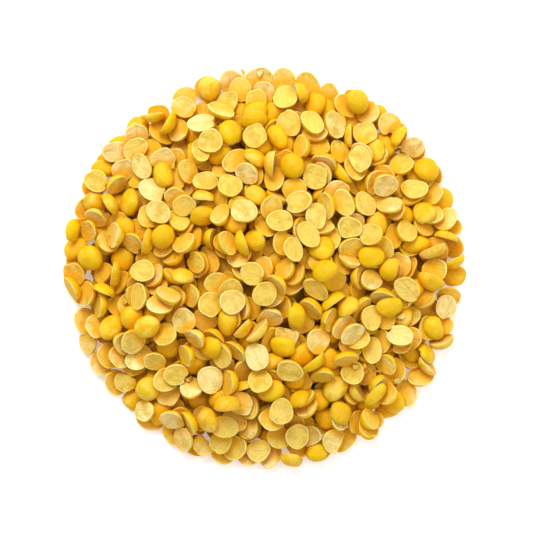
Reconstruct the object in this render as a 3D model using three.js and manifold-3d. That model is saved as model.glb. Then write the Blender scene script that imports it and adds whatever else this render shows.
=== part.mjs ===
// A poured heap of split, skinned pigeon peas: one solid, with a flat foot and the peas that show on a core.
// Millimetres, +Z up. The origin is the centre of the heap's foot, on the surface that it lies on.
import * as THREE from "three";
import { ConvexGeometry } from "three/addons/geometries/ConvexGeometry.js";
import { mergeVertices } from "three/addons/utils/BufferGeometryUtils.js";
import Module from "manifold-3d";

// Driving dimensions of the heap.
const HEAP_RADIUS = 47.4; // to the outer edge of the last peas
const CORE_RADIUS = 43.8; // the core that the peas lie on
const CORE_EDGE_HEIGHT = 0.8; // height of its low vertical edge
const FLANK_SLOPE = 0.37; // rise over run on its flank
const CROWN_RADIUS = 13; // how widely its flanks round over into the crown
const CORE_SIDES = 18;
const CORE_RINGS = 3;

// Driving dimensions of one half pea.
const PEA_LENGTH = 6.2;
const PEA_WIDTH = 5.5;
const PEA_THICKNESS = 2.3;
const SIZE_SPREAD = 0.11; // each pea's size varies by this share, up or down
const BACK_SHARE = 0.56; // size of the flat of the back, as a share of the face
const RIM_CORNERS = 7;
const BACK_CORNERS = 3;
const BREAK_INSET = 1.6; // how far in from its end a broken half ends
const BREAK_SLANT = 0.25; // lean of the broken side, in radians

// What lies in the heap.
const PEA_COUNT = 302;
const WHOLE_SHARE = 0.02; // unsplit peas, both halves still together
const BROKEN_SHARE = 0.07; // halves that lost an edge
const FACE_UP_SHARE = 0.56; // halves that show the pale split face
const ON_EDGE_SHARE = 0.12; // halves that stand steeply

// How the peas are laid.
const SEED = 40;
const LAYING_TRIES = 60; // places that each pea tries before it stays in the best one
const RISE_COST = 0.2; // how much a high place counts against one that lies over other peas
const RIM_COUNT = 46; // peas round the outline
const RIM_INSET = 3.2; // from the outline in to their middles
const RIM_WANDER = 0.6; // how far they stray in and out
const RIM_JITTER = 0.2; // how far they stray round it, as a share of their spacing
const RESTING_LEAN = 0.32; // most lean, in radians, of a pea that lies down
const EDGE_LEAN = 0.9; // most lean of a pea that stands on its edge
const LEAST_LEAN_SHARE = 0.3; // least lean, as a share of the most
const LEAN_DEPTH = 0.3; // how much deeper a pea stands for each radian of its lean
const JOINT_DEPTH = 0.15; // how far a pea is let into what it touches, so that the two are one
const RIM_JOINT_DEPTH = 0.4; // the same for the peas round the outline, which touch less
const CELL = 0.25; // the laying grid's spacing

// Closer than this, two corners are one corner and two directions one direction.
const SAME_CORNER = 1e-4;
const SAME_DIRECTION = 1e-3;

const wasm = await Module();
wasm.setup();

/** A repeatable stream of numbers from 0 to 1. */
function randomStream(seed) {
  let state = seed >>> 0;
  return () => {
    state = (state + 0x6d2b79f5) >>> 0;
    let t = Math.imul(state ^ (state >>> 15), 1 | state);
    t = (t + Math.imul(t ^ (t >>> 7), 61 | t)) ^ t;
    return ((t ^ (t >>> 14)) >>> 0) / 4294967296;
  };
}

const random = randomStream(SEED);
const between = (low, high) => low + (high - low) * random();

/** Height of the core at a distance from its axis: a cone with a round crown and a low edge. */
function coreHeight(distance) {
  const slant = (radius) => Math.hypot(radius, CROWN_RADIUS);
  return CORE_EDGE_HEIGHT + FLANK_SLOPE * (slant(CORE_RADIUS) - slant(distance));
}

/** A closed geometry as a manifold-3d solid. */
function solidOf(geometry) {
  const bare = new THREE.BufferGeometry();
  bare.setAttribute("position", geometry.getAttribute("position"));
  bare.setIndex(geometry.getIndex());
  const merged = mergeVertices(bare, SAME_CORNER);
  return new wasm.Manifold(
    new wasm.Mesh({
      numProp: 3,
      vertProperties: new Float32Array(merged.attributes.position.array),
      triVerts: new Uint32Array(merged.index.array),
    }),
  );
}

/** A solid as a geometry with flat faces. */
function geometryOf(solid) {
  const { numProp, vertProperties, triVerts } = solid.getMesh();
  const position = new Float32Array((vertProperties.length / numProp) * 3);
  for (let i = 0; i < position.length / 3; i++)
    position.set(vertProperties.subarray(i * numProp, i * numProp + 3), i * 3);
  const geometry = new THREE.BufferGeometry();
  geometry.setAttribute("position", new THREE.BufferAttribute(position, 3));
  geometry.setIndex(new THREE.BufferAttribute(triVerts, 1));
  const flat = geometry.toNonIndexed();
  flat.computeVertexNormals();
  return flat;
}

/** The core: a low mound with a flat foot, turned from its profile. */
function coreGeometry() {
  const profile = [new THREE.Vector2(0, 0), new THREE.Vector2(CORE_RADIUS, 0)];
  for (let i = 0; i <= CORE_RINGS; i++) {
    const distance = CORE_RADIUS * (1 - i / CORE_RINGS);
    profile.push(new THREE.Vector2(distance, coreHeight(distance)));
  }
  return new THREE.LatheGeometry(profile, CORE_SIDES).rotateX(Math.PI / 2);
}

/** Corners evenly round the Z axis at one height, out to a share of the pea's length and width. */
function ring(count, share, height) {
  return Array.from({ length: count }, (_, i) => {
    const bearing = (2 * Math.PI * (i + 0.5)) / count;
    const x = (PEA_LENGTH / 2) * share * Math.cos(bearing);
    const y = (PEA_WIDTH / 2) * share * Math.sin(bearing);
    return new THREE.Vector3(x, y, height);
  });
}

/** A half pea, its split face below and its round back above, centred on its own middle. */
function halfPea() {
  const half = PEA_THICKNESS / 2;
  const face = ring(RIM_CORNERS, 1, -half);
  const back = ring(BACK_CORNERS, BACK_SHARE, half);
  return new ConvexGeometry([...face, ...back]);
}

/** A pea with both halves still together. */
function wholePea() {
  const seam = ring(RIM_CORNERS, 1, 0);
  const lowerBack = ring(BACK_CORNERS, BACK_SHARE, -PEA_THICKNESS);
  const upperBack = ring(BACK_CORNERS, BACK_SHARE, PEA_THICKNESS);
  return new ConvexGeometry([...lowerBack, ...seam, ...upperBack]);
}

/** A half pea with one side broken off. */
function brokenPea() {
  const cutter = new THREE.BoxGeometry(PEA_LENGTH, PEA_LENGTH, PEA_LENGTH);
  cutter.rotateY(BREAK_SLANT).translate(PEA_LENGTH - BREAK_INSET, 0, 0);
  return geometryOf(solidOf(halfPea()).subtract(solidOf(cutter)));
}

/** A closed convex geometry together with its outward planes. */
function shapeOf(geometry) {
  const flat = geometry.getIndex() ? geometry.toNonIndexed() : geometry;
  const position = flat.getAttribute("position");
  const corner = (i) => new THREE.Vector3().fromBufferAttribute(position, i);
  const planes = [];
  for (let i = 0; i < position.count; i += 3) {
    const plane = new THREE.Plane().setFromCoplanarPoints(corner(i), corner(i + 1), corner(i + 2));
    const known = planes.some((seen) => seen.normal.distanceTo(plane.normal) < SAME_DIRECTION);
    if (!known) planes.push(plane);
  }
  return { geometry, planes };
}

/** The heights that have been reached so far, on a square grid over the heap. */
class LayingGrid {
  constructor(core) {
    this.reach = HEAP_RADIUS + PEA_LENGTH;
    this.count = Math.ceil((2 * this.reach) / CELL);
    this.heights = new Float32Array(this.count * this.count);
    this.taken = new Uint8Array(this.count * this.count);
    for (const [cell, , high] of this.spanOf(core.planes, CORE_RADIUS, 0, 0)) this.heights[cell] = high;
  }

  place(index) {
    return (index + 0.5) * CELL - this.reach;
  }

  /** Calls visit(cell, x, y) for every cell within a radius of a point. */
  around(x, y, radius, visit) {
    const index = (value) => Math.floor((value + this.reach) / CELL);
    for (let row = index(y - radius); row <= index(y + radius); row++)
      for (let column = index(x - radius); column <= index(x + radius); column++)
        visit(row * this.count + column, this.place(column), this.place(row));
  }

  /** The upward normal of the plane that best fits the heights within a radius of a point. */
  slopeAt(x, y, radius) {
    let alongX = 0;
    let alongY = 0;
    let spread = 0;
    this.around(x, y, radius, (cell, cellX, cellY) => {
      alongX += (cellX - x) * this.heights[cell];
      alongY += (cellY - y) * this.heights[cell];
      spread += (cellX - x) ** 2;
    });
    return new THREE.Vector3(-alongX / spread, -alongY / spread, 1).normalize();
  }

  /** The bottom and top of a shape over each cell, about its own middle, as [cell, low, high]. */
  spanOf(planes, radius, x, y) {
    const spans = [];
    this.around(x, y, radius, (cell, cellX, cellY) => {
      let low = -Infinity;
      let high = Infinity;
      for (const { normal, constant } of planes) {
        const rest = -constant - normal.x * (cellX - x) - normal.y * (cellY - y);
        if (normal.z > SAME_DIRECTION) high = Math.min(high, rest / normal.z);
        else if (normal.z < -SAME_DIRECTION) low = Math.max(low, rest / normal.z);
        else if (rest < 0) high = -Infinity;
      }
      if (low < high) spans.push([cell, low, high]);
    });
    return spans;
  }

  /** How high the middle of a shape stays when it is lowered until it touches. */
  restingHeight(spans) {
    return Math.max(...spans.map(([cell, low]) => this.heights[cell] - low));
  }

  /** The share of a span that other peas already cover. */
  shareTaken(spans) {
    return spans.filter(([cell]) => this.taken[cell]).length / spans.length;
  }

  /** Raises the heights to the top of a pea that was laid. */
  cover({ spans, height }) {
    for (const [cell, , high] of spans) {
      this.heights[cell] = Math.max(this.heights[cell], height + high);
      this.taken[cell] = 1;
    }
  }
}

/** The turn that brings a pea's back to point along a direction, after a spin about its own axis. */
function turnTo(direction, spin) {
  const up = new THREE.Vector3(0, 0, 1);
  const lean = new THREE.Quaternion().setFromUnitVectors(up, direction);
  return lean.multiply(new THREE.Quaternion().setFromAxisAngle(up, spin));
}

/** Picks the kind of pea that lies at a place. */
function pickKind(kinds) {
  const draw = random();
  if (draw < WHOLE_SHARE) return kinds.whole;
  if (draw < WHOLE_SHARE + BROKEN_SHARE) return kinds.broken;
  return kinds.half;
}

/** One way in which a pea could lie at a place on the heap, and what speaks against it. */
function tryToLie(grid, shape, size, faceUp, lean, { distance, bearing, joint }) {
  const x = distance * Math.cos(bearing);
  const y = distance * Math.sin(bearing);
  const upward = grid.slopeAt(x, y, PEA_WIDTH / 2);
  const leanBearing = between(0, 2 * Math.PI);
  const leanAxis = new THREE.Vector3(Math.cos(leanBearing), Math.sin(leanBearing), 0);
  upward.applyAxisAngle(leanAxis, lean * between(LEAST_LEAN_SHARE, 1));
  const turn = turnTo(faceUp ? upward.negate() : upward, between(0, 2 * Math.PI));
  const planes = shape.planes.map(({ normal, constant }) => ({
    normal: normal.clone().applyQuaternion(turn),
    constant: constant * size,
  }));
  const spans = grid.spanOf(planes, (PEA_LENGTH / 2) * size, x, y);
  const height = grid.restingHeight(spans) - joint - lean * LEAN_DEPTH;
  const overlap = grid.shareTaken(spans);
  const rise = (height - coreHeight(distance)) / PEA_THICKNESS;
  return { shape, size, x, y, turn, spans, height, cost: overlap + RISE_COST * rise };
}

/** The places that a pea may take: the first ones lie round the outline, the rest anywhere inside it. */
function placesFor(index) {
  const furthest = HEAP_RADIUS - RIM_INSET;
  if (index < RIM_COUNT) {
    const distance = furthest + between(-RIM_WANDER, RIM_WANDER);
    const bearing = (2 * Math.PI * (index + between(-RIM_JITTER, RIM_JITTER))) / RIM_COUNT;
    return [{ distance, bearing, joint: RIM_JOINT_DEPTH }];
  }
  return Array.from({ length: LAYING_TRIES }, () => ({
    distance: furthest * Math.sqrt(random()),
    bearing: between(0, 2 * Math.PI),
    joint: JOINT_DEPTH,
  }));
}

/** Lays the peas one by one, each in the best of several places, and gives each as a solid. */
function layPeas(grid, kinds) {
  const peas = [];
  for (let i = 0; i < PEA_COUNT; i++) {
    const shape = pickKind(kinds);
    const size = between(1 - SIZE_SPREAD, 1 + SIZE_SPREAD);
    const faceUp = random() < FACE_UP_SHARE;
    const lean = random() < ON_EDGE_SHARE ? EDGE_LEAN : RESTING_LEAN;
    const tries = placesFor(i).map((place) => tryToLie(grid, shape, size, faceUp, lean, place));
    const best = tries.reduce((a, b) => (a.cost < b.cost ? a : b));
    grid.cover(best);
    peas.push(best);
  }
  return peas.map(({ shape, size, x, y, turn, height }) => {
    const matrix = new THREE.Matrix4().compose(
      new THREE.Vector3(x, y, height),
      turn,
      new THREE.Vector3(size, size, size),
    );
    return solidOf(shape.geometry.clone().applyMatrix4(matrix));
  });
}

/** The largest closed surface of a solid: hollows that were sealed are filled and loose scraps dropped. */
function outerBody(solid) {
  return solid.decompose().reduce((a, b) => (a.volume() > b.volume() ? a : b));
}

/** The heap: the core and its peas as one solid, cut off level at the surface it lies on. */
function heapSolid() {
  const kinds = {
    half: shapeOf(halfPea()),
    whole: shapeOf(wholePea()),
    broken: shapeOf(brokenPea()),
  };
  const core = coreGeometry();
  const peas = layPeas(new LayingGrid(shapeOf(core)), kinds);
  const joined = wasm.Manifold.union([solidOf(core), ...peas]);
  const width = 4 * HEAP_RADIUS;
  const ground = new THREE.BoxGeometry(width, width, width).translate(0, 0, -width / 2);
  return outerBody(joined.subtract(solidOf(ground)));
}

/** Moves a geometry so that its outline is centred on the Z axis and its foot is at z = 0. */
function centred(geometry) {
  geometry.computeBoundingBox();
  const { min, max } = geometry.boundingBox;
  return geometry.translate(-(min.x + max.x) / 2, -(min.y + max.y) / 2, -min.z);
}

const peaYellow = new THREE.MeshStandardMaterial({
  color: new THREE.Color("#dfb040"),
  roughness: 0.6,
  metalness: 0,
});

const splitPeaHeap = new THREE.Mesh(centred(geometryOf(heapSolid())), peaYellow);
splitPeaHeap.name = "split_pea_heap";

const heap = new THREE.Group();
heap.add(splitPeaHeap);

export default heap;
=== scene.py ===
"""A low round heap of split pigeon peas on a pale floor.

Every kind of pea is modelled once. The peas are then poured over a small core and settle under their own
weight, and each kind is gathered, pea by pea where it came to rest, into one mesh.
"""

import math
import random

import bmesh
import bpy
import numpy as np
from bpy.props import FloatProperty, FloatVectorProperty, IntProperty, PointerProperty
from bpy.types import Operator, Panel, PropertyGroup
from mathutils import Euler, Matrix, Vector


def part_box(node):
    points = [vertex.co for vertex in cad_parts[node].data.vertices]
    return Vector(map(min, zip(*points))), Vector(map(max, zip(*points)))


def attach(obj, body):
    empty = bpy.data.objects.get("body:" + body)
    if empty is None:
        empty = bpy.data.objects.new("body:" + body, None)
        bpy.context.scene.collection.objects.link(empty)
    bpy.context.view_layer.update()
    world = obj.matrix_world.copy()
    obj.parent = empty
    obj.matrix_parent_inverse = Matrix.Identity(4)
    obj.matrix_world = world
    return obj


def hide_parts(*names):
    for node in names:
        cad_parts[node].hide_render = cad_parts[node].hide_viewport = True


bl_info = {
    "name": "Split pea heap",
    "version": (1, 0, 0),
    "blender": (4, 5, 0),
    "location": "3D View > Sidebar > Pea heap",
    "description": "Pours a heap of split, skinned pigeon peas",
    "category": "Object",
}

NODE = "split_pea_heap"

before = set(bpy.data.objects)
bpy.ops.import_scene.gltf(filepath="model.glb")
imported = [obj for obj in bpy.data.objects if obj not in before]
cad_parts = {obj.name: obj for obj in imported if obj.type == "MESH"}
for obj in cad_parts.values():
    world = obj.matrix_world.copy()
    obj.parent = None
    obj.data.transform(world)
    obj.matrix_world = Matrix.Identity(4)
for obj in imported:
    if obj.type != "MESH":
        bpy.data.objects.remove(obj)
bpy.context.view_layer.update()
HEAP_LOW, HEAP_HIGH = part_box(NODE)
HEAP_SIZE = HEAP_HIGH - HEAP_LOW

# Each kind of half pea: its share of the heap, how many are modelled, and the ranges its sizes and pushes are
# drawn from. Lengths and widths are shares of the usual pea's. A push flattens the outline, a point draws it
# out, a notch is where the germ lay, and a break takes off what lies beyond it, which is nothing past 1.
HALF_KINDS = {
    "round_halves": {
        "share": 0.29, "count": 5, "length": (0.94, 1.05), "width": (1.0, 1.1), "push": (0.07, 0.14),
        "point": (0.0, 0.04), "notch": (0.04, 0.09), "break": (2, 2),
    },
    "oval_halves": {
        "share": 0.21, "count": 4, "length": (1.03, 1.14), "width": (0.88, 0.97), "push": (0.06, 0.12),
        "point": (0.02, 0.07), "notch": (0.0, 0.07), "break": (2, 2),
    },
    "flat_sided_halves": {
        "share": 0.22, "count": 5, "length": (0.98, 1.08), "width": (0.98, 1.08), "push": (0.17, 0.28),
        "point": (0.0, 0.08), "notch": (0.0, 0.08), "break": (2, 2),
    },
    "notched_halves": {
        "share": 0.22, "count": 5, "length": (0.97, 1.06), "width": (0.98, 1.08), "push": (0.03, 0.1),
        "point": (0.0, 0.03), "notch": (0.17, 0.26), "break": (2, 2),
    },
    "broken_halves": {
        "share": 0.045, "count": 3, "length": (0.98, 1.06), "width": (0.96, 1.06), "push": (0.04, 0.1),
        "point": (0.0, 0.03), "notch": (0.0, 0.05), "break": (0.3, 0.6),
    },
}

# Rings across the split face, from its edge inwards: the radius and the height of each.
FACE_RINGS = ((0.965, -0.03), (0.915, -0.02), (0.855, 0.015), (0.585, 0.015))
DOME_CENTRE = 0.4  # height of a half's middle, which it turns about
PEA_SEGMENTS = 22
DOME_RINGS = 6
SHALLOW = 0.3  # the germ's notch is cut only below this height
FLESH = 0.6  # distance given to broken flesh, which makes it look like the split face
CRUMB_CUTS = ((0, 0.2, 0.45), (130, 0.5, 0.3), (250, -0.4, 0.5), (60, -2.0, 0.3), (90, 3.0, 0.35))

# The core ends this far inside the outline, and its thin skirt runs out over the second length.
CORE_RINGS = 8
CORE_SIDES = 48
SKIRT_INSET = 0.0065
SKIRT_TAPER = 0.002

# How the peas are let go. These five are shares of a half's length.
RIM_MARGIN = 0.51
RING_SPACING = 0.965
RING_STEP = 0.9
CELL_SPACING = 1.065
LEVEL_GAP = 1.03

LEVELS = 6
HALF_FULLNESS = 1.04  # a half's volume over that of half an ellipsoid
SURFACE_ALLOWANCE = 0.0009
DROP_GAP = 0.003
POUR_TILT = 0.25

# The peas settle a hundred times their size, which the solver handles better.
SETTLE_SCALE = 100.0
CONTACT_MARGIN = 0.004
FENCE_SIDES = 64
FENCE_WALL = 0.006
FENCE_HEIGHT = 0.09
SETTLE_FRAMES = 62
SETTLE_SUBSTEPS = 8
SOLVER_STEPS = 12
MOST_LOST = 0.03  # share of the peas that may leave the heap

# How far the settled heap may be scaled into the solid's box, and how deep the shade between peas reaches.
FIT_RANGE = (0.96, 1.02)
SHADE_SPAN = 1.6  # times a half's thickness

CORE = "heap_core"
moulds = {}  # every kind's models, by the name of its piece
poured = []  # the peas as they came to rest


# ---------------------------------------------------------------- values that a user may change


class PeaSizes(PropertyGroup):
    """Sizes of the peas."""

    length: FloatProperty(
        name="Length", description="Usual length of a half", default=0.0062, unit="LENGTH", precision=4
    )
    width: FloatProperty(
        name="Width", description="Usual width of a half", default=0.0055, unit="LENGTH", precision=4
    )
    thickness: FloatProperty(
        name="Thickness", description="Usual thickness of a half", default=0.0023, unit="LENGTH", precision=4
    )
    spread: FloatProperty(
        name="Spread",
        description="Share by which single peas differ in size",
        default=0.09,
        min=0,
        max=0.3,
        subtype="FACTOR",
    )
    crumb: FloatProperty(
        name="Crumb", description="Size of a crumb", default=0.0015, unit="LENGTH", precision=4
    )


class HeapShape(PropertyGroup):
    """Form of the heap and how it is poured."""

    radius: FloatProperty(
        name="Radius",
        description="Outline of the heap",
        default=(HEAP_SIZE.x + HEAP_SIZE.y) / 4,
        unit="LENGTH",
        precision=4,
    )
    slope: FloatProperty(
        name="Slope",
        description="Rise over run on the flank",
        default=0.48,
        min=0.1,
        max=0.8,
        subtype="FACTOR",
    )
    crown: FloatProperty(
        name="Crown", description="How widely the top is rounded", default=0.013, unit="LENGTH", precision=4
    )
    layer: FloatProperty(
        name="Layer",
        description="Depth of the loose peas over the core",
        default=0.0078,
        unit="LENGTH",
        precision=4,
    )
    skirt: FloatProperty(
        name="Skirt",
        description="Thickness of the core where it runs out",
        default=0.0009,
        unit="LENGTH",
        precision=4,
    )
    filling: FloatProperty(
        name="Filling",
        description="Share of the layer that is pea and not air",
        default=0.7,
        min=0.3,
        max=0.9,
        subtype="FACTOR",
    )
    face_up: FloatProperty(
        name="Face up",
        description="Share of halves poured with the split face up",
        default=0.8,
        min=0,
        max=1,
        subtype="FACTOR",
    )
    grip: FloatProperty(
        name="Grip", description="Friction of pea on pea", default=1.0, min=0, max=1.5, subtype="FACTOR"
    )
    whole_peas: IntProperty(
        name="Whole peas", description="Peas that never split", default=9, min=1, subtype="UNSIGNED"
    )
    crumbs: IntProperty(
        name="Crumbs", description="Small chips between the peas", default=26, min=1, subtype="UNSIGNED"
    )
    seed: IntProperty(
        name="Seed", description="Another number pours another heap", default=6, min=0, subtype="UNSIGNED"
    )


class PeaColours(PropertyGroup):
    """Colours of the peas."""

    back: FloatVectorProperty(
        name="Back",
        description="Round back",
        subtype="COLOR",
        size=4,
        default=(0.755, 0.505, 0.004, 1),
        min=0,
        max=1,
    )
    back_deep: FloatVectorProperty(
        name="Deep back",
        description="Riper backs and their shaded patches",
        subtype="COLOR",
        size=4,
        default=(0.68, 0.395, 0.002, 1),
        min=0,
        max=1,
    )
    face: FloatVectorProperty(
        name="Face",
        description="Split face",
        subtype="COLOR",
        size=4,
        default=(0.785, 0.575, 0.10, 1),
        min=0,
        max=1,
    )
    face_chalk: FloatVectorProperty(
        name="Chalky face",
        description="Paler, drier split faces",
        subtype="COLOR",
        size=4,
        default=(0.85, 0.70, 0.325, 1),
        min=0,
        max=1,
    )
    face_dull: FloatVectorProperty(
        name="Dull face",
        description="Mottling of the split faces",
        subtype="COLOR",
        size=4,
        default=(0.58, 0.37, 0.025, 1),
        min=0,
        max=1,
    )
    # Also the colour of pale dust, painted glints and bleached faces.
    # The raised edge's cream: partly its own paleness, partly painted highlight where it catches light.
    rim: FloatVectorProperty(
        name="Rim",
        description="Raised edge of the split face",
        subtype="COLOR",
        size=4,
        default=(0.96, 0.835, 0.36, 1),
        min=0,
        max=1,
    )
    # Painted shade: the deep amber of peas in shadow, given to the core and to peas lying deep in the heap.
    core: FloatVectorProperty(
        name="Core",
        description="What shows deep between the peas",
        subtype="COLOR",
        size=4,
        default=(0.83, 0.42, 0.001, 1),
        min=0,
        max=1,
    )


class StageLook(PropertyGroup):
    """Floor, light and camera."""

    floor: FloatVectorProperty(
        name="Floor",
        description="Colour of the floor",
        subtype="COLOR",
        size=4,
        default=(0.93, 0.93, 0.93, 1),
        min=0,
        max=1,
    )
    sky: FloatProperty(
        name="Sky",
        description="Strength of the light from all round",
        default=0.47,
        min=0,
        max=4,
        subtype="FACTOR",
    )
    key: FloatProperty(
        name="Key light", description="Power of the soft light behind", default=2.9, unit="POWER"
    )
    camera_height: FloatProperty(
        name="Camera height", description="Height of the camera over the heap", default=0.62, unit="LENGTH"
    )
    view_width: FloatProperty(
        name="View width", description="Width of floor that the camera sees", default=0.1247, unit="LENGTH"
    )


# ---------------------------------------------------------------- modelling helpers


def deselect_all():
    """Leaves nothing selected."""
    for other in bpy.context.selected_objects:
        other.select_set(False)


def activate(piece):
    """Makes a piece the only selected one."""
    deselect_all()
    piece.select_set(True)
    bpy.context.view_layer.objects.active = piece


def pick_vertices(piece, wanted):
    """In edit mode, selects the vertices whose place passes a test, and says how many there are."""
    shape = bmesh.from_edit_mesh(piece.data)
    for part in (shape.faces, shape.edges):
        for one in part:
            one.select = False
    count = 0
    for vertex in shape.verts:
        vertex.select = bool(wanted(vertex.co))
        count += vertex.select
    bmesh.update_edit_mesh(piece.data)
    return count


def pick_faces(piece, wanted):
    """In edit mode, selects the faces that pass a test."""
    bpy.context.tool_settings.mesh_select_mode = (False, False, True)
    shape = bmesh.from_edit_mesh(piece.data)
    for part in (shape.verts, shape.edges):
        for one in part:
            one.select = False
    for face in shape.faces:
        face.select_set(bool(wanted(face)))
    bmesh.update_edit_mesh(piece.data)


def direction(bearing, rise=0.0):
    """A unit vector at a bearing and a rise above the split face, both in degrees."""
    around, up = math.radians(bearing), math.radians(rise)
    return Vector((math.cos(around) * math.cos(up), math.sin(around) * math.cos(up), math.sin(up)))


def draw_rings(rings):
    """In edit mode, draws the selected face through rings about the axis, given as (radius, height)."""
    for (radius, height), (next_radius, next_height) in zip(rings, rings[1:]):
        share = next_radius / radius
        bpy.ops.mesh.extrude_region_move()
        bpy.ops.transform.resize(value=(share, share, 1), center_override=(0, 0, 0))
        bpy.ops.transform.translate(value=(0, 0, next_height - height))


def push(piece, way, amount, reach, high=2.0):
    """Pushes the side that looks one way back in, and what lies within reach along with it."""
    bpy.context.tool_settings.mesh_select_mode = (True, False, False)
    places = [vertex.co.dot(way) for vertex in bmesh.from_edit_mesh(piece.data).verts if vertex.co.z < high]
    furthest = max(places)
    pick_vertices(piece, lambda co: co.dot(way) > furthest - 0.02 and co.z < high)
    bpy.ops.transform.translate(
        value=-way * amount,
        use_proportional_edit=True,
        proportional_edit_falloff="SMOOTH",
        proportional_size=reach,
    )


def draw_crease(piece, bearing, depth):
    """Sinks a shallow crease into the split face, from near the edge towards the middle."""
    bpy.context.tool_settings.mesh_select_mode = (True, False, False)
    way = direction(bearing)

    def on_crease(co):
        along = co.dot(way)
        across = (co - way * along).xy.length
        return co.z < 0.12 and 0.3 < along < 0.88 and across < 0.12

    if pick_vertices(piece, on_crease):
        bpy.ops.transform.translate(
            value=(0, 0, depth),
            use_proportional_edit=True,
            proportional_edit_falloff="SHARP",
            proportional_size=0.16,
        )


def leave_edit():
    """Turns every face outwards and leaves edit mode."""
    bpy.ops.mesh.select_all(action="SELECT")
    bpy.ops.mesh.normals_make_consistent(inside=False)
    bpy.ops.object.mode_set(mode="OBJECT")


def break_off(piece, distance):
    """Presses what lies beyond a distance on the +X side into a flat, rough end."""
    bpy.context.tool_settings.mesh_select_mode = (True, False, False)
    pick_vertices(piece, lambda co: co.x > distance)
    bpy.ops.transform.resize(value=(0.1, 1, 1), center_override=(distance, 0, 0))
    bpy.ops.transform.vertex_random(offset=0.04, seed=3)


def add_share(mesh, name, values):
    """Stores one number for each vertex."""
    attribute = mesh.attributes.new(name, "FLOAT", "POINT")
    attribute.data.foreach_set("value", np.asarray(values, np.float32))


def model_half(name, make, sizes, draws):
    """Models one half pea: a dome whose open side is closed by a slightly hollow face with a raised edge."""
    deselect_all()
    bpy.ops.mesh.primitive_circle_add(vertices=PEA_SEGMENTS, radius=1, fill_type="NGON")
    half = bpy.context.object
    half.name = name
    bpy.ops.object.mode_set(mode="EDIT")
    slopes = [math.pi / 2 * ring / DOME_RINGS for ring in range(DOME_RINGS)]
    draw_rings([(math.cos(slope), math.sin(slope)) for slope in slopes])
    bpy.ops.mesh.poke(offset=1 - math.sin(slopes[-1]))
    pick_faces(half, lambda face: len(face.verts) == PEA_SEGMENTS)
    draw_rings([(1, 0), *FACE_RINGS])
    bpy.ops.mesh.poke()
    broken_at = draws.uniform(*make["break"])
    if broken_at < 1:
        break_off(half, broken_at)
    bpy.ops.object.mode_set(mode="OBJECT")

    place = np.empty(len(half.data.vertices) * 3)
    half.data.vertices.foreach_get("co", place)
    place = place.reshape(-1, 3)
    # Distance from the middle of the split face: 1 at its edge and more on the back.
    face_out = np.hypot(place[:, 0], place[:, 1]) + 2 * np.clip(place[:, 2] - 0.12, 0, 1)
    add_share(half.data, "face_out", np.where(place[:, 0] > broken_at - 0.03, FLESH, face_out))

    bpy.ops.object.mode_set(mode="EDIT")
    side = draws.uniform(0, 360)
    push(half, direction(side), draws.uniform(*make["push"]), reach=1.1)
    push(half, direction(side + draws.uniform(80, 150)), draws.uniform(0.04, 0.12), reach=0.7)
    push(half, direction(side + draws.uniform(170, 230)), draws.uniform(0.03, 0.12), reach=0.65)
    push(half, direction(side - draws.uniform(60, 110)), -draws.uniform(*make["point"]), reach=0.6)
    for _ in range(2):
        shoulder = direction(draws.uniform(0, 360), draws.uniform(30, 80))
        push(half, shoulder, draws.uniform(0.05, 0.17), reach=draws.uniform(0.6, 0.9))
    germ = 180 + draws.uniform(-12, 12)
    push(half, direction(germ), draws.uniform(*make["notch"]), reach=0.36, high=SHALLOW)
    draw_crease(half, germ + draws.uniform(-10, 10), draws.uniform(0.03, 0.1))
    bpy.ops.mesh.select_all(action="SELECT")
    bpy.ops.transform.translate(value=(0, 0, -DOME_CENTRE))
    bpy.ops.transform.resize(
        value=(
            sizes.length / 2 * draws.uniform(*make["length"]),
            sizes.width / 2 * draws.uniform(*make["width"]),
            sizes.thickness * draws.uniform(0.93, 1.07),
        ),
        center_override=(0, 0, 0),
    )
    leave_edit()
    bpy.ops.object.shade_smooth()
    return half


def model_whole(name, pattern, sizes):
    """Models a pea that never split: two domes with a fine seam between them."""
    deselect_all()
    bpy.ops.mesh.primitive_uv_sphere_add(segments=PEA_SEGMENTS, ring_count=2 * DOME_RINGS + 2, radius=1)
    whole = bpy.context.object
    whole.name = name
    bpy.ops.object.mode_set(mode="EDIT")
    bpy.context.tool_settings.mesh_select_mode = (True, False, False)
    pick_vertices(whole, lambda co: abs(co.z) < 0.01)
    bpy.ops.mesh.bevel(offset=0.05, segments=2, affect="EDGES")
    pick_vertices(whole, lambda co: abs(co.z) < 0.01)
    bpy.ops.transform.resize(value=(0.955, 0.955, 1), center_override=(0, 0, 0))
    push(whole, direction(*pattern["push"]), 0.1, reach=1.2)
    bpy.ops.mesh.select_all(action="SELECT")
    bpy.ops.transform.resize(
        value=(
            sizes.length / 2 * pattern["length"],
            sizes.width / 2 * pattern["width"],
            sizes.thickness * pattern["thickness"],
        ),
        center_override=(0, 0, 0),
    )
    leave_edit()
    bpy.ops.object.shade_smooth()
    heights = [abs(vertex.co.z) / sizes.thickness for vertex in whole.data.vertices]
    add_share(whole.data, "face_out", 1.04 + np.array(heights))
    return whole


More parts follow.
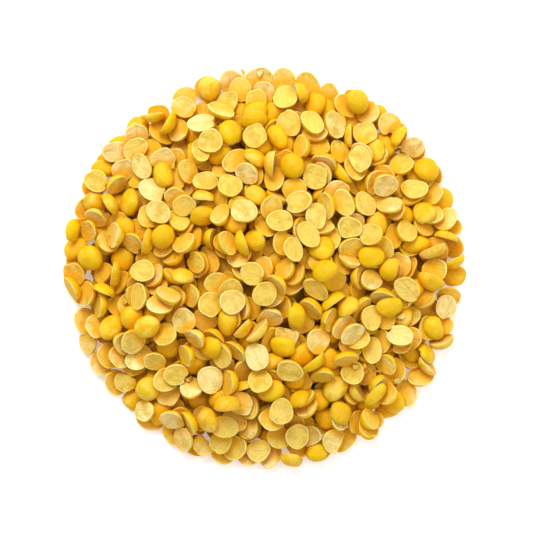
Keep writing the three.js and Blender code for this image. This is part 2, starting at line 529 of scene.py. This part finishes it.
def model_crumb(name, turn, sizes):
    """Models a chip: a small ball cut down by slanted planes."""
    deselect_all()
    bpy.ops.mesh.primitive_ico_sphere_add(subdivisions=2, radius=1)
    crumb = bpy.context.object
    crumb.name = name
    bpy.ops.object.mode_set(mode="EDIT")
    for bearing, lean, distance in CRUMB_CUTS:
        around = math.radians(bearing + turn)
        way = Vector((math.cos(around), math.sin(around), lean)).normalized()
        bpy.ops.mesh.select_all(action="SELECT")
        bpy.ops.mesh.bisect(plane_co=way * distance, plane_no=way, clear_outer=True, use_fill=True)
    bpy.ops.mesh.select_all(action="SELECT")
    bpy.ops.transform.resize(
        value=(sizes.crumb * 0.95, sizes.crumb * 0.7, sizes.crumb * 0.5), center_override=(0, 0, 0)
    )
    leave_edit()
    bpy.ops.object.shade_smooth_by_angle(angle=math.radians(40))
    add_share(crumb.data, "face_out", np.full(len(crumb.data.vertices), 0.5))
    return crumb


# ---------------------------------------------------------------- pouring and settling


def heap_height(distance, heap):
    """Height that the heap is to have at a distance from its axis."""
    slant = math.hypot(heap.radius, heap.crown) - math.hypot(distance, heap.crown)
    return max(0.0, heap.slope * slant)


def core_height(distance, heap):
    """Height of the core: a mound under the loose peas, on a thin skirt that ends inside the outline."""
    skirt_end = heap.radius - SKIRT_INSET
    skirt = heap.skirt * min(1.0, max(0.0, (skirt_end - distance) / SKIRT_TAPER))
    return max(skirt, heap_height(distance, heap) - heap.layer)


def pour_places(heap, sizes, draws):
    """Where peas are let go: rings over the floor and the core first, then looser layers above them."""
    margin = sizes.length * RIM_MARGIN
    outermost = heap.radius - margin
    distance = outermost
    while distance > 0.0005:
        count = int(2 * math.pi * distance / (sizes.length * RING_SPACING))
        start = draws.random()
        for step in range(count):
            bearing = 2 * math.pi * (step + start + draws.uniform(-0.12, 0.12)) / count
            stray = draws.uniform(-0.0005, 0.0001 if distance == outermost else 0.0004)
            yield bearing, distance + stray, 0
        distance -= sizes.length * RING_STEP

    cell = sizes.length * CELL_SPACING
    cell_area = cell * cell * math.sqrt(3) / 2
    pea_volume = math.pi / 6 * sizes.length * sizes.width * sizes.thickness * HALF_FULLNESS
    steps = int(2 * heap.radius / cell) + 3
    for level in range(1, LEVELS + 1):
        turn = draws.uniform(0, math.pi)
        shift = Vector((draws.uniform(-cell, cell), draws.uniform(-cell, cell)))
        for column in range(-steps, steps + 1):
            for row in range(-steps, steps + 1):
                x = (column + 0.5 * (row % 2)) * cell + shift.x
                y = row * cell * math.sqrt(3) / 2 + shift.y
                distance = math.hypot(x, y)
                if distance > outermost:
                    continue
                depth = heap_height(distance, heap) - core_height(distance, heap) + SURFACE_ALLOWANCE
                wanted = depth * heap.filling * cell_area / pea_volume
                if level + draws.random() <= wanted:
                    yield math.atan2(y, x) + turn, distance, level


def plan_pour(heap, sizes):
    """Draws every pea's kind, size and starting place."""
    draws = random.Random(heap.seed)
    plan = []
    for bearing, distance, level in pour_places(heap, sizes, draws):
        kind = draws.choices(list(HALF_KINDS), [make["share"] for make in HALF_KINDS.values()])[0]
        plan.append([kind, bearing, distance, level])
    high = [index for index, entry in enumerate(plan) if entry[3] >= 2]
    for index in draws.sample(high, heap.whole_peas):
        plan[index][0] = "whole_peas"
    for _ in range(heap.crumbs):
        far = (heap.radius - sizes.length) * math.sqrt(draws.random())
        plan.append(["crumbs", draws.uniform(0, 2 * math.pi), far, 8])
    starts = []
    for kind, bearing, distance, level in plan:
        mould = draws.choice(moulds[kind])
        height = heap_height(distance, heap) + DROP_GAP + level * sizes.length * LEVEL_GAP
        place = Vector((distance * math.cos(bearing), distance * math.sin(bearing), height))
        flip = math.pi if draws.random() < heap.face_up else 0
        lean, roll = draws.gauss(0, POUR_TILT), draws.gauss(0, POUR_TILT)
        turn = Euler((flip + lean, roll, draws.uniform(0, 2 * math.pi))).to_quaternion()
        size = Vector([draws.uniform(1 - sizes.spread, 1 + sizes.spread) for _ in range(3)])
        starts.append({"kind": kind, "mould": mould, "place": place, "turn": turn, "size": size})
    return starts


def hull_of(mould):
    """A light closed hull of a mould at settling scale, for the solver alone."""
    shape = bmesh.new()
    for index, vertex in enumerate(mould.data.vertices):
        if index % 3 == 0 or len(mould.data.vertices) < 80:
            shape.verts.new(vertex.co * SETTLE_SCALE)
    made = bmesh.ops.convex_hull(shape, input=shape.verts)
    bmesh.ops.delete(shape, geom=list({*made["geom_interior"], *made["geom_unused"]}), context="VERTS")
    mesh = bpy.data.meshes.new("hull_" + mould.name)
    shape.to_mesh(mesh)
    shape.free()
    return mesh


def in_order(mesh):
    """A copy of a mesh with its faces in a fixed order, so that the solver meets them alike in every run."""
    faces = []
    for face in mesh.polygons:
        corners = list(face.vertices)
        first = corners.index(min(corners))
        faces.append(corners[first:] + corners[:first])
    ordered = bpy.data.meshes.new("ordered")
    ordered.from_pydata([vertex.co for vertex in mesh.vertices], [], sorted(faces))
    return ordered


def make_rigid(piece, kind, form, grip):
    """Sets how a piece counts in the solver."""
    body = piece.rigid_body
    body.type = kind
    body.collision_shape = form
    body.mesh_source = "BASE"
    body.friction = grip
    body.restitution = 0
    body.use_margin = True
    body.collision_margin = CONTACT_MARGIN
    body.linear_damping = 0.1
    body.angular_damping = 0.3


def add_fence(heap):
    """A round fence with a floor, which keeps the peas inside the outline while they settle."""
    deselect_all()
    inner, wall, height = (length * SETTLE_SCALE for length in (heap.radius, FENCE_WALL, FENCE_HEIGHT))
    bpy.ops.mesh.primitive_circle_add(
        vertices=FENCE_SIDES, radius=inner + wall, fill_type="NGON", location=(0, 0, -wall)
    )
    fence = bpy.context.object
    bpy.ops.object.mode_set(mode="EDIT")
    draw_rings([(inner + wall, -wall), (inner + wall, height), (inner, height), (inner, 0)])
    bpy.ops.mesh.poke()
    bpy.ops.object.mode_set(mode="OBJECT")
    return fence


def settle(starts, core, heap):
    """Lets the peas fall and gives each one's place at rest, in metres."""
    scene = bpy.context.scene
    bpy.ops.rigidbody.world_add()
    world = scene.rigidbody_world
    world.substeps_per_frame = SETTLE_SUBSTEPS
    world.solver_iterations = SOLVER_STEPS
    world.point_cache.frame_start = 1
    world.point_cache.frame_end = SETTLE_FRAMES

    ground = add_fence(heap)
    ground.data = in_order(ground.data)
    mound = core.copy()
    mound.data = in_order(core.data)
    mound.data.transform(Matrix.Scale(SETTLE_SCALE, 4))
    scene.collection.objects.link(mound)
    for piece in (ground, mound):
        activate(piece)
        bpy.ops.rigidbody.object_add(type="PASSIVE")
        make_rigid(piece, "PASSIVE", "MESH", heap.grip)

    hulls = {mould.name: hull_of(mould) for kind in moulds.values() for mould in kind}
    falling = []
    for start in starts:
        pea = bpy.data.objects.new("falling", hulls[start["mould"].name])
        pea.location = start["place"] * SETTLE_SCALE
        pea.rotation_mode = "QUATERNION"
        pea.rotation_quaternion = start["turn"]
        pea.scale = start["size"]
        scene.collection.objects.link(pea)
        falling.append(pea)
    deselect_all()
    for pea in falling:
        pea.select_set(True)
    bpy.context.view_layer.objects.active = falling[0]
    bpy.ops.rigidbody.objects_add(type="ACTIVE")
    for pea in falling:
        make_rigid(pea, "ACTIVE", "CONVEX_HULL", heap.grip)
    for frame_number in range(1, SETTLE_FRAMES + 1):
        scene.frame_set(frame_number)

    evaluated = bpy.context.evaluated_depsgraph_get()
    rest = []
    for start, pea in zip(starts, falling):
        matrix = pea.evaluated_get(evaluated).matrix_world.copy()
        matrix.translation /= SETTLE_SCALE
        rest.append({**start, "matrix": matrix})
    bpy.ops.rigidbody.world_remove()
    for helper in (*falling, ground, mound):
        bpy.data.objects.remove(helper)
    for hull in hulls.values():
        bpy.data.meshes.remove(hull)
    scene.frame_set(1)
    return rest


# ---------------------------------------------------------------- gathering copies into pieces


def mould_arrays(mould):
    """A mould's vertices, face corners, face sizes and stored distances, as arrays."""
    mesh = mould.data
    place = np.empty(len(mesh.vertices) * 3)
    mesh.vertices.foreach_get("co", place)
    corners = np.empty(len(mesh.loops), np.int64)
    mesh.loops.foreach_get("vertex_index", corners)
    sizes = np.empty(len(mesh.polygons), np.int64)
    mesh.polygons.foreach_get("loop_total", sizes)
    distances = np.empty(len(mesh.vertices))
    mesh.attributes["face_out"].data.foreach_get("value", distances)
    return place.reshape(-1, 3), corners, sizes, distances


def place_pea(pea, fit):
    """The places of a resting pea's vertices in the heap."""
    matrix = np.array(pea["matrix"])
    placed = mould_arrays(pea["mould"])[0] @ matrix[:3, :3].T + matrix[:3, 3]
    return placed * fit["scale"] + fit["shift"]


def heap_surface(resting, fit, cell=0.0005, reach=3):
    """A grid of the heap's top, which tells how deep a point lies among the peas, for painted shade."""
    places = np.concatenate([place_pea(pea, fit) for pea in resting])
    half = int(HEAP_SIZE.x / 2 / cell) + 2 * reach
    column = np.clip((places[:, :2] / cell).astype(int) + half, 0, 2 * half)
    top = np.zeros((2 * half + 1, 2 * half + 1))
    np.maximum.at(top, (column[:, 0], column[:, 1]), places[:, 2])
    cross = ((0, 0), (1, 0), (-1, 0), (0, 1), (0, -1))
    for _ in range(reach):
        top = np.maximum.reduce([np.roll(top, shift, (0, 1)) for shift in cross])
    for _ in range(2 * reach):
        top = sum(np.roll(top, shift, (0, 1)) for shift in cross) / len(cross)
    return {"top": top, "cell": cell, "half": half}


def buried_depth(places, surface, span):
    """How deep points lie under the heap's surface, as a share of a span; it sets the painted shade."""
    column = np.clip((places[:, :2] / surface["cell"]).astype(int) + surface["half"], 0, 2 * surface["half"])
    return np.clip((surface["top"][column[:, 0], column[:, 1]] - places[:, 2]) / span, 0, 1)


def gather(name, resting, fit, surface, span, draws):
    """Copies each pea's mould to where it rests and joins the copies into one mesh."""
    arrays = {}
    places, own_places, corners, sizes, distances, chances = [], [], [], [], [], []
    total = 0
    for pea in resting:
        mould = pea["mould"]
        if mould.name not in arrays:
            arrays[mould.name] = mould_arrays(mould)
        place, corner, size, distance = arrays[mould.name]
        places.append(place_pea(pea, fit))
        own_places.append(place * 1000)
        corners.append(corner + total)
        sizes.append(size)
        distances.append(distance)
        chances.append(np.tile([draws.random(), draws.random(), draws.random()], (len(place), 1)))
        total += len(place)
    sizes = np.concatenate(sizes)
    mesh = bpy.data.meshes.new(name)
    mesh.vertices.add(total)
    mesh.vertices.foreach_set("co", np.concatenate(places).ravel())
    mesh.loops.add(int(sizes.sum()))
    mesh.loops.foreach_set("vertex_index", np.concatenate(corners))
    mesh.polygons.add(len(sizes))
    mesh.polygons.foreach_set("loop_start", np.concatenate(([0], np.cumsum(sizes)[:-1])))
    mesh.update(calc_edges=True)
    mesh.validate()
    mesh.shade_smooth()
    add_share(mesh, "face_out", np.concatenate(distances))
    add_share(mesh, "buried", buried_depth(np.concatenate(places), surface, span))
    for label, values in (("pea_place", own_places), ("pea_chance", chances)):
        attribute = mesh.attributes.new(label, "FLOAT_VECTOR", "POINT")
        attribute.data.foreach_set("vector", np.concatenate(values).ravel().astype(np.float32))
    piece = bpy.data.objects.new(name, mesh)
    bpy.context.scene.collection.objects.link(piece)
    return piece


def fit_to_box(resting):
    """The scale and shift that bring the settled heap into the solid's box."""
    as_it_lies = {"scale": np.ones(3), "shift": np.zeros(3)}
    placed = np.concatenate([place_pea(pea, as_it_lies) for pea in resting])
    low, high = placed.min(0), placed.max(0)
    scale = np.clip(np.array(HEAP_SIZE) / (high - low), *FIT_RANGE)
    middle = (low + high) / 2 * scale
    shift = np.array([-middle[0], -middle[1], -low[2] * scale[2]])
    return {"scale": scale, "shift": shift}


def finish_piece(piece, material):
    """Gives a piece its material, hangs it under the root body and hides the solid that it replaces."""
    piece.data.materials.clear()
    piece.data.materials.append(material)
    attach(piece, "root")
    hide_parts(NODE)


# ---------------------------------------------------------------- materials


def add_node(tree, kind, sockets=None, **settings):
    """Adds a shader node, sets its options, and links or sets its sockets."""
    node = tree.nodes.new(kind)
    for name, value in settings.items():
        setattr(node, name, value)
    for name, value in (sockets or {}).items():
        if isinstance(value, bpy.types.NodeSocket):
            tree.links.new(value, node.inputs[name])
        else:
            node.inputs[name].default_value = value
    return node


def calculate(tree, operation, *values, clamp=False):
    """Adds a sum or another calculation and gives its result."""
    node = add_node(tree, "ShaderNodeMath", dict(enumerate(values)), operation=operation, use_clamp=clamp)
    return node.outputs[0]


def times(tree, first, second):
    """The product of two values."""
    return calculate(tree, "MULTIPLY", first, second)


def blend_colours(tree, share, first, second):
    """The first colour where the share is 0, the second where it is 1."""
    sockets = {0: share, 6: first, 7: second}
    return add_node(tree, "ShaderNodeMix", sockets, data_type="RGBA").outputs[2]


def step_up(tree, value, start, end):
    """0 below start, 1 above end, smooth between them."""
    sockets = {"Value": value, "From Min": start, "From Max": end}
    return add_node(tree, "ShaderNodeMapRange", sockets, interpolation_type="SMOOTHSTEP").outputs[0]


def step_down(tree, value, start, end):
    """1 below start, 0 above end, smooth between them."""
    return calculate(tree, "SUBTRACT", 1.0, step_up(tree, value, start, end))


def new_group(name, inputs, outputs):
    """Starts a node group with named sockets, each given as (name, socket type, default)."""
    tree = bpy.data.node_groups.new(name, "ShaderNodeTree")
    for label, kind, default in inputs:
        socket = tree.interface.new_socket(label, in_out="INPUT", socket_type=kind)
        if default is not None:
            socket.default_value = default
    for label, kind in outputs:
        tree.interface.new_socket(label, in_out="OUTPUT", socket_type=kind)
    start = tree.nodes.new("NodeGroupInput")
    end = tree.nodes.new("NodeGroupOutput")
    return tree, start.outputs, end.inputs


def mottling_group():
    """Patches, specks, rays and a crease in a pea's own frame, different on every pea."""
    tree, given, wanted = new_group(
        "Pea mottling",
        [
            ("Place", "NodeSocketVector", None),
            ("Chance", "NodeSocketVector", None),
            ("Patch size", "NodeSocketFloat", 0.42),
            ("Speck size", "NodeSocketFloat", 2.6),
        ],
        [(label, "NodeSocketFloat") for label in ("Patches", "Specks", "Rays", "Crease")],
    )
    apart = add_node(tree, "ShaderNodeVectorMath", {0: given["Chance"], 3: 61.0}, operation="SCALE")
    own = add_node(tree, "ShaderNodeVectorMath", {0: given["Place"], 1: apart.outputs[0]}, operation="ADD")
    patches = add_node(
        tree, "ShaderNodeTexNoise", {"Vector": own.outputs[0], "Scale": given["Patch size"], "Detail": 2.0}
    )
    specks = add_node(
        tree,
        "ShaderNodeTexNoise",
        {"Vector": own.outputs[0], "Scale": given["Speck size"], "Detail": 4.0, "Roughness": 0.62},
    )
    part = add_node(tree, "ShaderNodeSeparateXYZ", {0: given["Place"]})
    chance = add_node(tree, "ShaderNodeSeparateXYZ", {0: given["Chance"]})
    x, y = part.outputs[0], part.outputs[1]
    # Rays fan out from a point near the germ's notch, on the -X side.
    off_germ = calculate(tree, "ADD", x, 2.3)
    bearing = calculate(tree, "ARCTAN2", y, off_germ)
    squares = calculate(tree, "ADD", times(tree, off_germ, off_germ), times(tree, y, y))
    fan = add_node(
        tree,
        "ShaderNodeCombineXYZ",
        {
            0: times(tree, bearing, 3.0),
            1: times(tree, calculate(tree, "SQRT", squares), 0.24),
            2: times(tree, chance.outputs[2], 37.0),
        },
    )
    rays = add_node(tree, "ShaderNodeTexNoise", {"Vector": fan.outputs[0], "Scale": 1.7, "Detail": 2.0})
    # The crease is a wandering line from the notch to about the middle.
    wander = times(tree, calculate(tree, "SUBTRACT", patches.outputs[0], 0.5), 2.2)
    across = calculate(tree, "ABSOLUTE", calculate(tree, "ADD", y, wander))
    line = step_down(tree, across, 0.03, 0.22)
    ended = step_down(tree, x, -0.9, 0.9)
    crease = times(tree, times(tree, line, ended), chance.outputs[1])
    tree.links.new(patches.outputs[0], wanted["Patches"])
    tree.links.new(specks.outputs[0], wanted["Specks"])
    tree.links.new(rays.outputs[0], wanted["Rays"])
    tree.links.new(crease, wanted["Crease"])
    return tree


def band(tree, value, start, rise, fall, end):
    """1 between rise and fall, 0 before start and after end."""
    return times(tree, step_up(tree, value, start, rise), step_down(tree, value, fall, end))


def new_material(name):
    """Starts a material with an empty node tree."""
    material = bpy.data.materials.new(name)
    material.use_nodes = True
    material.node_tree.nodes.clear()
    return material, material.node_tree


def show(tree, sockets):
    """Ends a material with a surface that has the given sockets."""
    shader = add_node(tree, "ShaderNodeBsdfPrincipled", sockets)
    output = add_node(tree, "ShaderNodeOutputMaterial")
    tree.links.new(shader.outputs[0], output.inputs[0])


def pea_material(name, colours, mottling, paleness=0.0):
    """Dried pea: a waxy golden back, a pale raised edge, and a hollow face with fine rays and a crease."""
    material, tree = new_material(name)

    def attribute(label):
        return add_node(tree, "ShaderNodeAttribute", attribute_name=label)

    place = attribute("pea_place").outputs["Vector"]
    chance = attribute("pea_chance").outputs["Vector"]
    out = attribute("face_out").outputs["Fac"]
    draw = add_node(tree, "ShaderNodeSeparateXYZ", {0: chance})
    group = add_node(tree, "ShaderNodeGroup", node_tree=mottling)
    tree.links.new(place, group.inputs["Place"])
    tree.links.new(chance, group.inputs["Chance"])
    patches, specks, rays, crease = (group.outputs[n] for n in ("Patches", "Specks", "Rays", "Crease"))
    on_face = step_down(tree, out, 0.99, 1.03)
    on_rim = band(tree, out, 0.89, 0.93, 0.99, 1.06)
    on_shade = band(tree, out, 0.76, 0.85, 0.88, 0.92)

    # The back: each pea has its own depth of gold, soft patches, a little pale dust and painted glints.
    ripeness = times(tree, calculate(tree, "POWER", draw.outputs[0], 1.6), 0.8)
    patchy = step_up(tree, patches, 0.42, 0.68)
    deep = calculate(tree, "ADD", ripeness, times(tree, patchy, 0.6), clamp=True)
    back = blend_colours(tree, deep, tuple(colours.back), tuple(colours.back_deep))
    dusty = times(tree, step_up(tree, specks, 0.52, 0.72), step_up(tree, draw.outputs[2], 0.2, 0.95))
    # Painted highlight: pale blotches on some backs stand in for soft glints.
    glint_patches = times(tree, step_up(tree, patches, 0.6, 0.4), step_up(tree, draw.outputs[1], 0.5, 1.0))
    # Pale share: real dust together with the painted glint blotches.
    pale = calculate(tree, "ADD", times(tree, dusty, 0.4), times(tree, glint_patches, 0.25))
    back = blend_colours(tree, pale, back, tuple(colours.rim))

    # The split face: yellow to chalky from pea to pea, mottled, with fine rays and a crease from the germ.
    chalky = calculate(tree, "ADD", step_up(tree, draw.outputs[1], 0.35, 1.0), paleness, clamp=True)
    face = blend_colours(tree, chalky, tuple(colours.face), tuple(colours.face_chalk))
    bleached = times(tree, step_up(tree, draw.outputs[1], 0.92, 0.99), 0.8)
    face = blend_colours(tree, bleached, face, tuple(colours.rim))
    dull = times(tree, step_up(tree, patches, 0.38, 0.64), step_up(tree, draw.outputs[2], 0.0, 0.7))
    face = blend_colours(tree, times(tree, dull, 0.72), face, tuple(colours.face_dull))
    lined = times(tree, step_up(tree, rays, 0.48, 0.64), 0.32)
    # Painted shade: darker along the sunk crease.
    lined = calculate(tree, "MAXIMUM", lined, times(tree, crease, 0.4))
    # Painted shade: a slightly darker band just inside the raised edge.
    lined = calculate(tree, "MAXIMUM", lined, times(tree, on_shade, 0.2))
    face = blend_colours(tree, lined, face, tuple(colours.face_dull))
    pale_specks = times(tree, step_up(tree, specks, 0.5, 0.68), 0.42)
    face = blend_colours(tree, pale_specks, face, tuple(colours.face_chalk))

    colour = blend_colours(tree, on_face, back, face)
    # The raised edge turns cream: partly its own paleness, partly a painted highlight where the thin edge
    # catches light.
    rim_strength = calculate(tree, "ADD", 0.22, times(tree, draw.outputs[0], 0.6))
    rim_unevenness = calculate(tree, "ADD", 0.35, times(tree, step_up(tree, patches, 0.4, 0.6), 0.65))
    rim_strength = times(tree, rim_strength, rim_unevenness)
    colour = blend_colours(tree, times(tree, on_rim, rim_strength), colour, tuple(colours.rim))
    # Painted shade: the deeper a point lies under the heap's surface, the more it turns deep amber.
    buried = times(tree, step_up(tree, attribute("buried").outputs["Fac"], 0.12, 0.66), 0.82)
    colour = blend_colours(tree, buried, colour, tuple(colours.core))

    rough = add_node(
        tree,
        "ShaderNodeMapRange",
        {
            "Value": calculate(tree, "ADD", on_face, specks),
            "From Min": 0.3,
            "From Max": 1.6,
            "To Min": 0.38,
            "To Max": 0.75,
        },
    )
    wrinkled = calculate(tree, "ADD", times(tree, rays, 2.2), times(tree, specks, 0.9))
    wrinkled = calculate(tree, "SUBTRACT", wrinkled, crease)
    dented = calculate(tree, "ADD", times(tree, specks, 0.8), times(tree, patches, 2.2))
    relief = calculate(tree, "ADD", dented, times(tree, wrinkled, on_face))
    bump = add_node(tree, "ShaderNodeBump", {"Height": relief, "Strength": 0.7, "Distance": 0.00016})
    sockets = {
        "Base Color": colour,
        "Roughness": rough.outputs[0],
        "Normal": bump.outputs[0],
        "IOR": 1.45,
        "Specular IOR Level": 0.2,
        "Subsurface Weight": 0.55,
        "Subsurface Radius": (1.0, 0.55, 0.06),
        "Subsurface Scale": 0.0018,
    }
    show(tree, sockets)
    return material


def core_material(colours):
    """Painted shade: the deep amber of peas in shadow, darker still between lumps of pea size."""
    material, tree = new_material("Packed peas")
    place = add_node(tree, "ShaderNodeTexCoord").outputs["Object"]
    cells = add_node(tree, "ShaderNodeTexVoronoi", {"Vector": place, "Scale": 210.0})
    noise = add_node(tree, "ShaderNodeTexNoise", {"Vector": place, "Scale": 900.0, "Detail": 3.0})
    # Painted shade: darker towards the edges of each lump, as in the gaps between peas.
    dark = tuple(channel * 0.55 for channel in colours.core[:3]) + (1,)
    shaded = step_up(tree, cells.outputs["Distance"], 0.2, 0.75)
    colour = blend_colours(tree, shaded, tuple(colours.core), dark)
    relief = calculate(tree, "SUBTRACT", times(tree, noise.outputs[0], 0.2), cells.outputs["Distance"])
    bump = add_node(tree, "ShaderNodeBump", {"Height": relief, "Strength": 0.7, "Distance": 0.001})
    show(tree, {"Base Color": colour, "Normal": bump.outputs[0], "Roughness": 0.7})
    return material


def floor_material(look):
    """Plain pale floor with the faintest unevenness."""
    material, tree = new_material("Pale floor")
    place = add_node(tree, "ShaderNodeTexCoord").outputs["Object"]
    noise = add_node(tree, "ShaderNodeTexNoise", {"Vector": place, "Scale": 30.0, "Detail": 2.0})
    rough = add_node(tree, "ShaderNodeMapRange", {"Value": noise.outputs[0], "To Min": 0.75, "To Max": 0.85})
    sockets = {
        "Base Color": tuple(look.floor),
        "Roughness": rough.outputs[0],
        "Emission Color": (1, 1, 1, 1),
        "Emission Strength": 0.3,
    }
    show(tree, sockets)
    return material


# ---------------------------------------------------------------- operators


class PEAHEAP_OT_halves(Operator):
    """Model the half peas of every kind"""

    bl_idname = "pea_heap.halves"
    bl_label = "Model the half peas"

    def execute(self, context):
        draws = random.Random(context.scene.heap_shape.seed)
        for kind, make in HALF_KINDS.items():
            names = [f"{kind}_{number}" for number in range(make["count"])]
            moulds[kind] = [model_half(name, make, context.scene.pea_sizes, draws) for name in names]
        return {"FINISHED"}


class PEAHEAP_OT_whole_peas(Operator):
    """Model the peas that never split"""

    bl_idname = "pea_heap.whole_peas"
    bl_label = "Model the whole peas"

    def execute(self, context):
        patterns = (
            {"length": 1.0, "width": 1.04, "thickness": 0.98, "push": (20, 5)},
            {"length": 1.06, "width": 1.0, "thickness": 0.94, "push": (150, 40)},
        )
        sizes = context.scene.pea_sizes
        named = enumerate(patterns)
        moulds["whole_peas"] = [model_whole(f"whole_{number}", one, sizes) for number, one in named]
        return {"FINISHED"}


class PEAHEAP_OT_crumbs(Operator):
    """Model the small chips"""

    bl_idname = "pea_heap.crumbs"
    bl_label = "Model the crumbs"

    def execute(self, context):
        sizes = context.scene.pea_sizes
        named = enumerate((0, 75, 200))
        moulds["crumbs"] = [model_crumb(f"crumb_{number}", turn, sizes) for number, turn in named]
        return {"FINISHED"}


class PEAHEAP_OT_core(Operator):
    """Model the core that the loose peas hide"""

    bl_idname = "pea_heap.core"
    bl_label = "Model the core"

    def execute(self, context):
        heap = context.scene.heap_shape
        steps = [heap.radius * step / 60 for step in range(61)]
        reach = max(distance for distance in steps if core_height(distance, heap) > 0)
        deselect_all()
        bpy.ops.mesh.primitive_circle_add(vertices=CORE_SIDES, radius=reach, fill_type="NGON")
        core = context.object
        core.name = CORE
        bpy.ops.object.mode_set(mode="EDIT")
        radii = [reach * (1 - 0.99 * step / CORE_RINGS) for step in range(CORE_RINGS + 1)]
        draw_rings([(reach, 0), *((radius, core_height(radius, heap)) for radius in radii)])
        leave_edit()
        bpy.ops.object.shade_smooth()
        return {"FINISHED"}


class PEAHEAP_OT_pour(Operator):
    """Pour the peas over the core and let them settle"""

    bl_idname = "pea_heap.pour"
    bl_label = "Pour the peas"

    def execute(self, context):
        scene = context.scene
        heap, sizes = scene.heap_shape, scene.pea_sizes
        core = bpy.data.objects.get(CORE)
        missing = {*HALF_KINDS, "whole_peas", "crumbs"} - set(moulds)
        if core is None or missing:
            raise RuntimeError(f"model the core and every kind of pea first; missing: {sorted(missing)}")
        rest = settle(plan_pour(heap, sizes), core, heap)
        limit = heap.radius + sizes.length / 2
        poured[:] = [pea for pea in rest if pea["matrix"].translation.xy.length < limit]
        if len(poured) < (1 - MOST_LOST) * len(rest):
            raise RuntimeError(f"{len(rest) - len(poured)} of {len(rest)} peas left the heap while settling")
        return {"FINISHED"}


class PEAHEAP_OT_gather(Operator):
    """Gather the settled peas into one mesh for each kind"""

    bl_idname = "pea_heap.gather"
    bl_label = "Gather the peas"

    def execute(self, context):
        if not poured:
            raise RuntimeError("pour the peas before gathering them")
        scene = context.scene
        colours = scene.pea_colours
        draws = random.Random(scene.heap_shape.seed + 1)
        mottling = mottling_group()
        dried_pea = pea_material("Dried pea", colours, mottling)
        dry_crumb = pea_material("Dry crumb", colours, mottling, paleness=0.6)
        fit = fit_to_box(poured)
        surface = heap_surface(poured, fit)
        for kind in moulds:
            resting = [pea for pea in poured if pea["kind"] == kind]
            if not resting:
                raise RuntimeError(f"none of the {kind} lies in the heap")
            piece = gather(kind, resting, fit, surface, SHADE_SPAN * scene.pea_sizes.thickness, draws)
            finish_piece(piece, dry_crumb if kind == "crumbs" else dried_pea)
        core = bpy.data.objects[CORE]
        core.data.transform(Matrix.Translation(Vector(fit["shift"])) @ Matrix.Diagonal((*fit["scale"], 1)))
        finish_piece(core, core_material(colours))
        for kind in moulds.values():
            for mould in kind:
                bpy.data.objects.remove(mould)
        return {"FINISHED"}


class PEAHEAP_OT_stage(Operator):
    """Set up the floor, the light and the camera"""

    bl_idname = "pea_heap.stage"
    bl_label = "Set the stage"

    def execute(self, context):
        scene = context.scene
        look = scene.stage_look
        deselect_all()
        bpy.ops.mesh.primitive_circle_add(vertices=96, radius=1.6, fill_type="NGON")
        floor = context.object
        floor.name = "floor"
        bpy.ops.object.mode_set(mode="EDIT")
        bpy.ops.mesh.extrude_region_move(TRANSFORM_OT_translate={"value": (0, 0, -0.01)})
        leave_edit()
        floor.data.materials.append(floor_material(look))

        world = bpy.data.worlds.new("Soft daylight")
        world.use_nodes = True
        world.node_tree.nodes["Background"].inputs["Color"].default_value = (1, 1, 1, 1)
        world.node_tree.nodes["Background"].inputs["Strength"].default_value = look.sky
        scene.world = world
        middle = (HEAP_LOW + HEAP_HIGH) / 2
        for name, place, size, power in (
            ("key", Vector((-0.10, 0.32, 0.42)), 0.28, look.key),
            ("fill", Vector((0.30, -0.05, 0.45)), 0.4, look.key * 0.35),
        ):
            deselect_all()
            bpy.ops.object.light_add(type="AREA", location=place)
            light = context.object
            light.name = name
            light.data.size = size
            light.data.energy = power
            light.rotation_euler = (middle - place).to_track_quat("-Z", "Y").to_euler()

        bpy.ops.object.camera_add(location=(0.0003, 0.0003, look.camera_height), rotation=(0, 0, 0))
        camera = context.object
        camera.data.sensor_width = 36
        camera.data.lens = 36 * (look.camera_height - scene.pea_sizes.thickness) / look.view_width
        camera.data.clip_start = 0.01
        scene.camera = camera
        scene.view_settings.view_transform = "Standard"
        return {"FINISHED"}


class PEAHEAP_PT_panel(Panel):
    """Steps and values of the heap"""

    bl_idname = "PEAHEAP_PT_panel"
    bl_label = "Split pea heap"
    bl_space_type = "VIEW_3D"
    bl_region_type = "UI"
    bl_category = "Pea heap"

    def draw(self, context):
        layout = self.layout
        for label, group in (
            ("Peas", context.scene.pea_sizes),
            ("Heap", context.scene.heap_shape),
            ("Colours", context.scene.pea_colours),
            ("Stage", context.scene.stage_look),
        ):
            box = layout.box()
            box.label(text=label)
            for value in group.bl_rna.properties:
                if value.identifier not in ("rna_type", "name"):
                    box.prop(group, value.identifier)
        for operator in OPERATORS:
            layout.operator(operator.bl_idname)


PROPERTY_GROUPS = {
    "pea_sizes": PeaSizes,
    "heap_shape": HeapShape,
    "pea_colours": PeaColours,
    "stage_look": StageLook,
}
OPERATORS = (
    PEAHEAP_OT_halves,
    PEAHEAP_OT_whole_peas,
    PEAHEAP_OT_crumbs,
    PEAHEAP_OT_core,
    PEAHEAP_OT_pour,
    PEAHEAP_OT_gather,
    PEAHEAP_OT_stage,
)


def register():
    for group in (*PROPERTY_GROUPS.values(), *OPERATORS, PEAHEAP_PT_panel):
        bpy.utils.register_class(group)
    for name, group in PROPERTY_GROUPS.items():
        setattr(bpy.types.Scene, name, PointerProperty(type=group))


def unregister():
    for name in PROPERTY_GROUPS:
        delattr(bpy.types.Scene, name)
    for group in reversed((*PROPERTY_GROUPS.values(), *OPERATORS, PEAHEAP_PT_panel)):
        bpy.utils.unregister_class(group)


def main():
    register()
    bpy.ops.pea_heap.halves()
    bpy.ops.pea_heap.whole_peas()
    bpy.ops.pea_heap.crumbs()
    bpy.ops.pea_heap.core()
    bpy.ops.pea_heap.pour()
    bpy.ops.pea_heap.gather()
    bpy.ops.pea_heap.stage()


if __name__ == "__main__":
    main()
